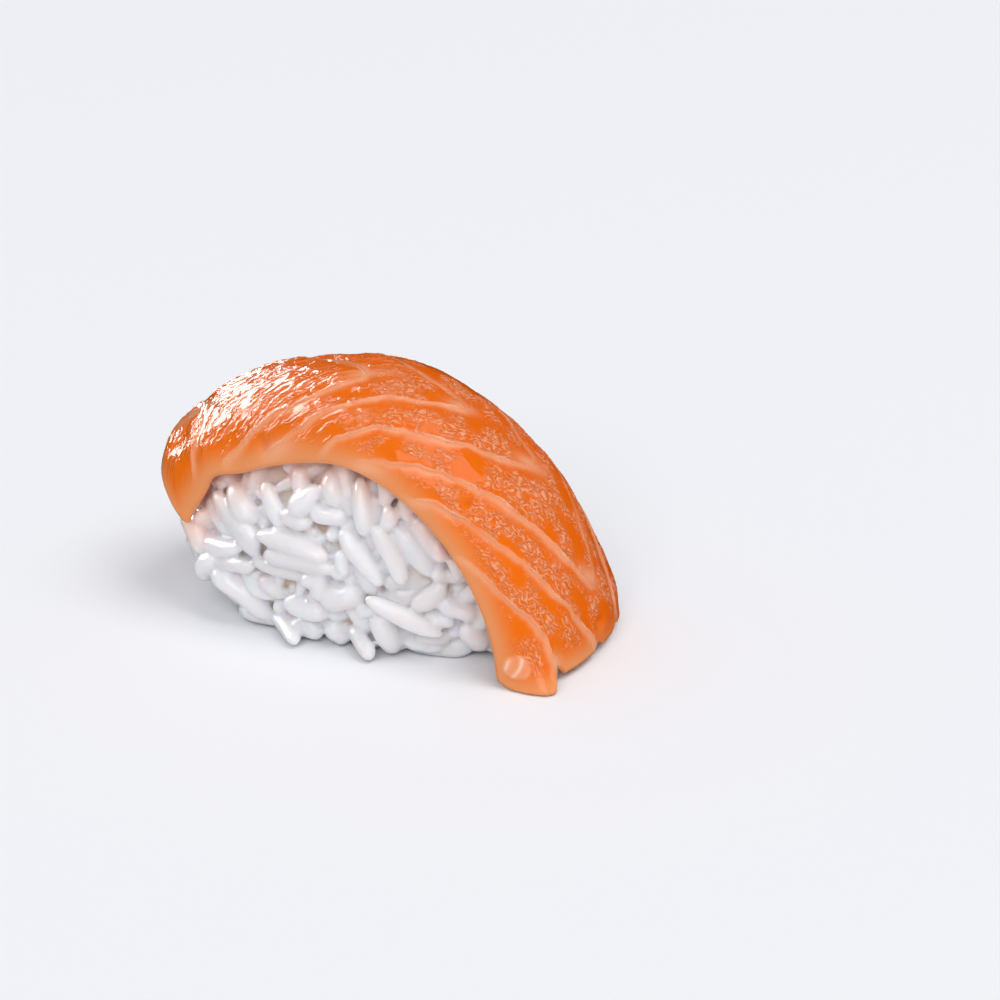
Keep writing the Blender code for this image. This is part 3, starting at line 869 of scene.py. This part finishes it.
def heap_core(ceiling, rings=24, sides=72):
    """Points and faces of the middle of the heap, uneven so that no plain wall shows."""
    uneven = FlatNoise(SEED + 7)
    points = []
    for step in range(rings + 1):
        height = 0.3 + (PAD_TOP - CORE_INSET - 1.0) * math.sin(step / rings * math.pi / 2 * 0.98)
        for k, turn in enumerate(np.linspace(0, 2 * math.pi, sides, endpoint=False)):
            cosine, sine = math.cos(turn), math.sin(turn)
            reach = float(pad_radius(np.array(height), cosine))
            power = 2 / PAD_SQUARENESS
            bump = float(uneven.at(np.array(k / 2.7), np.array(height / 2.0)))
            inset = CORE_INSET + CORE_UNEVENNESS * bump
            x = max(PAD_X * reach - inset, 0.5) * math.copysign(abs(cosine) ** power, cosine)
            y = max(PAD_Y * reach - inset, 0.5) * math.copysign(abs(sine) ** power, sine)
            points.append((x, y * (1 - PAD_TAPER * x / PAD_X), height))
    points = from_pad(np.array(points))
    points[:, 2] = np.minimum(points[:, 2], ceiling.at(points)[0] - 1.0)
    faces = [list(reversed(range(sides))), [rings * sides + j for j in range(sides)]]
    for k in range(rings):
        for j in range(sides):
            following = (j + 1) % sides
            low, high = k * sides, (k + 1) * sides
            faces.append([low + j, low + following, high + following, high + j])
    return points, faces


# ---------------------------------------------------------------- materials


def new_material(name):
    """A material with its node tree and shader."""
    material = bpy.data.materials.new(name)
    material.use_nodes = True
    tree = material.node_tree
    return material, tree, tree.nodes["Principled BSDF"]


def feed(tree, sockets, values):
    """Gives each input socket its value, a socket to link to or a plain value."""
    for socket, value in zip(sockets, values):
        if isinstance(value, bpy.types.NodeSocket):
            tree.links.new(value, socket)
        else:
            socket.default_value = value


def set_inputs(node, values):
    """Sets a node's inputs by name."""
    for name, value in values.items():
        node.inputs[name].default_value = value


def mix_colours(tree, factor, colour_a, colour_b):
    """A Mix node. factor, colour_a and colour_b are each a socket or a plain value."""
    node = tree.nodes.new("ShaderNodeMix")
    node.data_type = "RGBA"
    feed(tree, (node.inputs[0], node.inputs[6], node.inputs[7]), (factor, colour_a, colour_b))
    return node.outputs[2]


def math_node(tree, operation, *values):
    """A Math node. Each value is a socket or a plain number."""
    node = tree.nodes.new("ShaderNodeMath")
    node.operation = operation
    feed(tree, node.inputs, values)
    return node.outputs[0]


def noise_node(tree, vector, scale, detail=0.0, output="Fac"):
    """A Noise Texture node on the given coordinates."""
    node = tree.nodes.new("ShaderNodeTexNoise")
    set_inputs(node, {"Scale": scale, "Detail": detail})
    tree.links.new(vector, node.inputs["Vector"])
    return node.outputs[output]


def add_bump(tree, shader, height, distance, strength):
    """Fine relief, of that distance in mm, on the shader's normal. Returns the normal."""
    bump = tree.nodes.new("ShaderNodeBump")
    set_inputs(bump, {"Distance": distance * MM, "Strength": strength})
    tree.links.new(height, bump.inputs["Height"])
    tree.links.new(bump.outputs[0], shader.inputs["Normal"])
    return bump.outputs[0]


def mapped(tree, vector, turn, scale):
    """The vector turned about Z, then stretched."""
    rotate = tree.nodes.new("ShaderNodeVectorRotate")
    rotate.rotation_type = "Z_AXIS"
    rotate.inputs["Angle"].default_value = turn
    tree.links.new(vector, rotate.inputs["Vector"])
    stretch = tree.nodes.new("ShaderNodeVectorMath")
    stretch.operation = "MULTIPLY"
    feed(tree, stretch.inputs, (rotate.outputs[0], scale))
    return stretch.outputs[0]


def split_attribute(tree, name):
    """The four numbers of a painted attribute."""
    node = tree.nodes.new("ShaderNodeAttribute")
    node.attribute_name = name
    split = tree.nodes.new("ShaderNodeSeparateColor")
    tree.links.new(node.outputs["Color"], split.inputs[0])
    return (*split.outputs, node.outputs["Alpha"])


def wrinkle_lines(tree):
    """Fine squiggles and streaks of the wet muscle on the slice's flat plan, for its bump and its painted
    highlight, and where they are streaks.
    """
    along_slice, across_slice, left, where = split_attribute(tree, "sheet")
    flat = tree.nodes.new("ShaderNodeCombineXYZ")
    feed(tree, flat.inputs, (along_slice, across_slice))
    warp = tree.nodes.new("ShaderNodeVectorMath")
    warp.operation = "MULTIPLY_ADD"
    shift = noise_node(tree, flat.outputs[0], 1.0, output="Color")
    feed(tree, warp.inputs, (shift, (1.1, 1.1, 0), flat.outputs[0]))
    squiggle_plan = mapped(tree, warp.outputs[0], -SQUIGGLE_LEAN, (0.9, 2.0, 1))
    streak_plan = mapped(tree, warp.outputs[0], -STREAK_LEAN, (0.16, 1.1, 1))
    marks = []
    for plan, scale in ((squiggle_plan, 1.9), (streak_plan, 1.5)):
        noise = noise_node(tree, plan, scale, 1.5)
        raised = math_node(tree, "ADD", noise, math_node(tree, "MULTIPLY", where, 0.12))
        mark = tree.nodes.new("ShaderNodeMapRange")
        mark.interpolation_type = "SMOOTHSTEP"
        set_inputs(mark, {"From Min": 0.58, "From Max": 0.69})
        tree.links.new(raised, mark.inputs["Value"])
        marks.append(mark.outputs[0])
    mixed = tree.nodes.new("ShaderNodeMix")
    feed(tree, (mixed.inputs[0], mixed.inputs[2], mixed.inputs[3]), (left, *marks))
    return math_node(tree, "MULTIPLY", mixed.outputs[0], math_node(tree, "POWER", where, 0.6)), left


def salmon_material():
    """Wet salmon: orange muscle with a paler rim and a painted highlight on its wrinkles, bands of fat with a
    painted highlight along their ridges, and a clear coat of moisture.
    """
    material, tree, shader = new_material("salmon_flesh")
    fat, wrinkle, edge, across = split_attribute(tree, "flesh")
    lines, left = wrinkle_lines(tree)
    muscle = mix_colours(tree, across, FLESH_NEAR, FLESH_FAR)
    muscle = mix_colours(tree, edge, muscle, RIM_COLOUR)
    # The wrinkles and the squiggle and streak marks paint a pale highlight into the muscle, faintly on the
    # streaky left.
    relief = math_node(tree, "MULTIPLY", wrinkle, 0.2)
    raised = math_node(tree, "ADD", relief, math_node(tree, "MULTIPLY", lines, 0.6))
    fading = math_node(tree, "SUBTRACT", 1.0, math_node(tree, "MULTIPLY", left, 0.75))
    muscle = mix_colours(tree, math_node(tree, "MULTIPLY", raised, fading), muscle, WRINKLE_HIGHLIGHT_COLOUR)
    colour = mix_colours(tree, fat, muscle, FAT_COLOUR)
    # A painted highlight along the seams' ridges, where the fat mask runs past 0.75.
    ridge_highlight = math_node(tree, "MULTIPLY", math_node(tree, "SUBTRACT", fat, 0.75), 3.0)
    colour = mix_colours(tree, math_node(tree, "MAXIMUM", ridge_highlight, 0.0), colour, FAT_RIDGE_HIGHLIGHT_COLOUR)
    tree.links.new(colour, shader.inputs["Base Color"])
    normal = add_bump(tree, shader, lines, 0.09, 1.0)
    tree.links.new(normal, shader.inputs["Coat Normal"])
    set_inputs(shader, {
        "Roughness": 0.45,
        "Specular IOR Level": 0.0,
        "Subsurface Weight": 0.2,
        "Subsurface Radius": (1.0, 0.30, 0.10),
        "Subsurface Scale": 0.7 * MM,
        "Coat Weight": 0.8,
        "Coat Roughness": 0.05,
        "Coat IOR": 1.33,
    })
    return material


def rice_material():
    """Cooked rice: cloudy white grains, with a painted warm shade deep in the heap and a painted pink
    reflection of the salmon beside it.
    """
    material, tree, shader = new_material("rice_grain")
    tone, _, depth, salmon_reflection = split_attribute(tree, "grain")
    colour = mix_colours(tree, tone, GRAIN_LIGHT, GRAIN_DARK)
    place = tree.nodes.new("ShaderNodeNewGeometry").outputs["Position"]
    cloud = noise_node(tree, place, 900, 3.0)
    colour = mix_colours(tree, math_node(tree, "MULTIPLY", cloud, 0.25), colour, STARCH_COLOUR)
    # Painted warm shade deep in the heap.
    colour = mix_colours(tree, depth, colour, GAP_SHADE_COLOUR)
    # Painted pink reflection of the salmon on the grains beside it.
    colour = mix_colours(tree, math_node(tree, "MULTIPLY", salmon_reflection, 0.6), colour, SALMON_REFLECTION_COLOUR)
    tree.links.new(colour, shader.inputs["Base Color"])
    add_bump(tree, shader, cloud, 0.12, 0.6)
    set_inputs(shader, {
        "Roughness": 0.30,
        "Specular IOR Level": 0.55,
        "Subsurface Weight": 1.0,
        "Subsurface Radius": (1.0, 0.75, 0.6),
        "Subsurface Scale": 1.8 * MM,
    })
    return material


def floor_material():
    """The photo's pale, matt ground."""
    material, tree, shader = new_material("pale_floor")
    set_inputs(shader, {"Base Color": FLOOR_COLOUR, "Roughness": 0.7, "Specular IOR Level": 0.0})
    return material


# ---------------------------------------------------------------- stage


def back_direction(azimuth, elevation):
    """The direction from the nigiri back to a camera or light."""
    x, y = math.sin(azimuth) * math.cos(elevation), -math.cos(azimuth) * math.cos(elevation)
    return Vector((x, y, math.sin(elevation)))


def add_camera():
    """The photo's view."""
    back = back_direction(CAMERA_AZIMUTH, CAMERA_ELEVATION)
    right = Vector((math.cos(CAMERA_AZIMUTH), math.sin(CAMERA_AZIMUTH), 0))
    up = back.cross(right)
    target = right * AIM_RIGHT + up * AIM_UP
    location = back * CAMERA_DISTANCE
    data = bpy.data.cameras.new("camera")
    data.sensor_width = 36
    data.lens = CAMERA_LENS
    data.clip_start, data.clip_end = 0.01, 20
    camera = bpy.data.objects.new("camera", data)
    camera.location = location * MM
    camera.rotation_euler = (location - target).to_track_quat("Z", "Y").to_euler()
    bpy.context.scene.collection.objects.link(camera)
    bpy.context.scene.camera = camera


def add_area_light(name, azimuth, elevation, distance, width, height, watts, colour):
    """A soft box that looks at the nigiri's middle. Azimuth 0 is in front of it, 90 degrees at the +X end."""
    data = bpy.data.lights.new(name, "AREA")
    data.shape = "RECTANGLE"
    data.size, data.size_y = width * MM, height * MM
    data.energy = watts
    data.color = colour
    light = bpy.data.objects.new(name, data)
    direction = back_direction(math.radians(azimuth), math.radians(elevation))
    light.location = (direction * distance + Vector((0, 0, 15))) * MM
    light.rotation_euler = direction.to_track_quat("Z", "Y").to_euler()
    bpy.context.scene.collection.objects.link(light)
    return light


def add_stage():
    """Floor, sky, two broad lights, and two that only shine on what is wet."""
    bpy.ops.mesh.primitive_plane_add(size=4)
    floor = bpy.context.object
    floor.name = "floor"
    floor.data.materials.append(floor_material())
    floor.visible_glossy = False
    world = bpy.data.worlds.new("studio")
    world.use_nodes = True
    background = world.node_tree.nodes["Background"]
    set_inputs(background, {"Color": SKY_COLOUR, "Strength": 0.42})
    world.cycles_visibility.glossy = False
    bpy.context.scene.world = world
    bpy.context.scene.view_settings.view_transform = "Standard"
    add_area_light("key", 83, 62, 9000, 5600, 5600, 345, WARM_WHITE)
    add_area_light("front_fill", 15, 38, 9000, 5400, 4200, 300, WARM_WHITE)
    for shine in (
        add_area_light("back_left_shine", 252, 24, 900, 800, 300, 22.0, WHITE),
        add_area_light("left_shine", 287, 38, 900, 150, 850, 11.0, WHITE),
    ):
        shine.visible_diffuse = False
    add_camera()


def main():
    """Makes both pieces, ties them to the CAD model, and sets the stage."""
    points, faces, flesh, sheet = slice_mesh()
    salmon = mesh_object("salmon", points, faces, salmon_material())
    paint(salmon, "flesh", flesh)
    paint(salmon, "sheet", sheet)
    tree = BVHTree.FromPolygons([Vector(p) for p in points], faces)
    ceiling = Ceiling(tree)
    grains = make_rice(ceiling, tree, rice_material())
    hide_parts("salmon_slice")
    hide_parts("rice")
    for piece, slot in ((salmon, "raw_salmon"), (grains, "cooked_rice")):
        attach(piece, "root")
    add_stage()


main()
